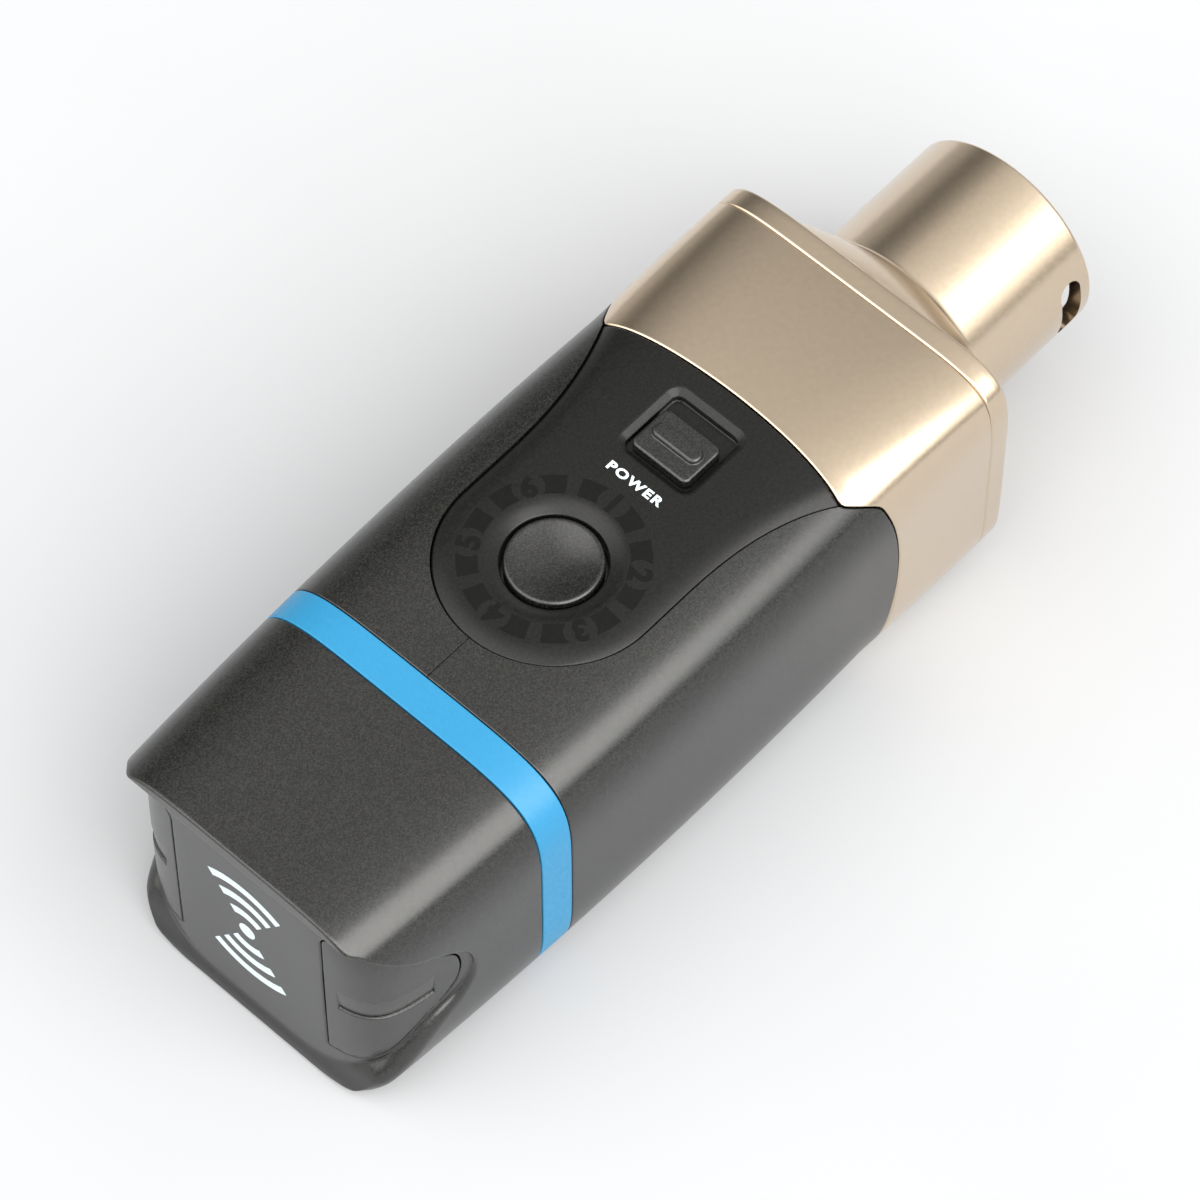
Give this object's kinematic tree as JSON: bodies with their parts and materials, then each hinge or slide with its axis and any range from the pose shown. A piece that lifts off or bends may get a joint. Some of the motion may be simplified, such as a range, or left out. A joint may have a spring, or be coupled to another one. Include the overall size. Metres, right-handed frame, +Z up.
{
  "type": "plug-on wireless audio transmitter",
  "caption": "Slim plug-on wireless audio transmitter with a round male three-pole connector nose, channel button, sliding power switch and a tapered metal head.",
  "frame": {"origin": "centre of the footprint, on the surface that the flat back rests on", "axes": "+X along the object from the end cap to the connector mouth, +Y to its left side, +Z up through the control face"},
  "size_m": [0.0925, 0.0318, 0.0279],
  "materials": {
    "charcoal": "fine-textured satin charcoal with a faint metallic speckle",
    "panel_black": "smooth satin black",
    "band_blue": "matte sky blue",
    "champagne_metal": "satin champagne gold",
    "insulator_black": "moulded black",
    "contact_silver": "plated contact",
    "tin_plate": "bright tin plate",
    "board_green": "green solder mask",
    "smoked_window": "smoked translucent light guide",
    "led_white": "cream lamp body",
    "cell_wrap": "silver-grey foil wrap",
    "foam_black": "soft black foam and rubber",
    "chip_black": "matt chip resin",
    "ceramic_white": "white ceramic",
    "lead_red": "red insulated lead",
    "lead_black": "black insulated lead",
    "lead_white": "white insulated lead"
  },
  "bodies": {
    "housing": {"end_cap": "charcoal", "accent_band": "band_blue", "body_shell_right": "charcoal", "body_shell_left": "charcoal", "control_panel": "panel_black", "head_sleeve": "champagne_metal", "front_cap": "champagne_metal", "cap_gasket": "foam_black", "connector_insert": "insulator_black", "contact_pin_1": "contact_silver", "contact_pin_2": "contact_silver", "contact_pin_3": "contact_silver", "tact_switch_body": "insulator_black", "slide_switch_body": "tin_plate", "light_guide": "smoked_window", "main_board": "board_green", "chassis": "insulator_black", "battery_cell": "cell_wrap", "battery_pad": "foam_black", "radio_shield": "tin_plate", "audio_chip": "chip_black", "charger_chip": "chip_black", "antenna": "ceramic_white", "charging_socket": "tin_plate", "charge_board": "board_green", "battery_lead_red": "lead_red", "battery_lead_black": "lead_black", "charge_lead_red": "lead_red", "charge_lead_black": "lead_black", "signal_lead_1": "lead_white", "signal_lead_2": "lead_red", "signal_lead_3": "lead_black", "status_led_1": "led_white", "status_led_2": "led_white", "status_led_3": "led_white", "status_led_4": "led_white", "status_led_5": "led_white", "status_led_6": "led_white", "board_screw_1": "tin_plate", "board_screw_2": "tin_plate", "board_screw_3": "tin_plate", "board_screw_4": "tin_plate"},
    "channel_button": {"channel_button": "charcoal", "tact_switch_plunger": "insulator_black"},
    "power_slider": {"power_slider": "charcoal", "slide_switch_stem": "insulator_black"},
    "port_cover_right": {"port_cover_right": "charcoal"},
    "port_cover_left": {"port_cover_left": "charcoal"}
  },
  "joints": [
    {"name": "button_press", "type": "slide", "parent": "housing", "child": "channel_button", "axis": [0, 0, -1], "range_m": [0, 0.0006], "stiffness_N_per_m": 1500},
    {"name": "power_slide", "type": "slide", "parent": "housing", "child": "power_slider", "axis": [1, 0, 0], "range_m": [0, 0.0013]},
    {"name": "right_cover_hinge", "type": "hinge", "parent": "housing", "child": "port_cover_right", "pos_m": [-0.04505, -0.0085, 0.01362], "axis": [0, 0, -1], "range_deg": [0, 95]},
    {"name": "left_cover_hinge", "type": "hinge", "parent": "housing", "child": "port_cover_left", "pos_m": [-0.04505, 0.0085, 0.01362], "axis": [0, 0, 1], "range_deg": [0, 95]}
  ]
}
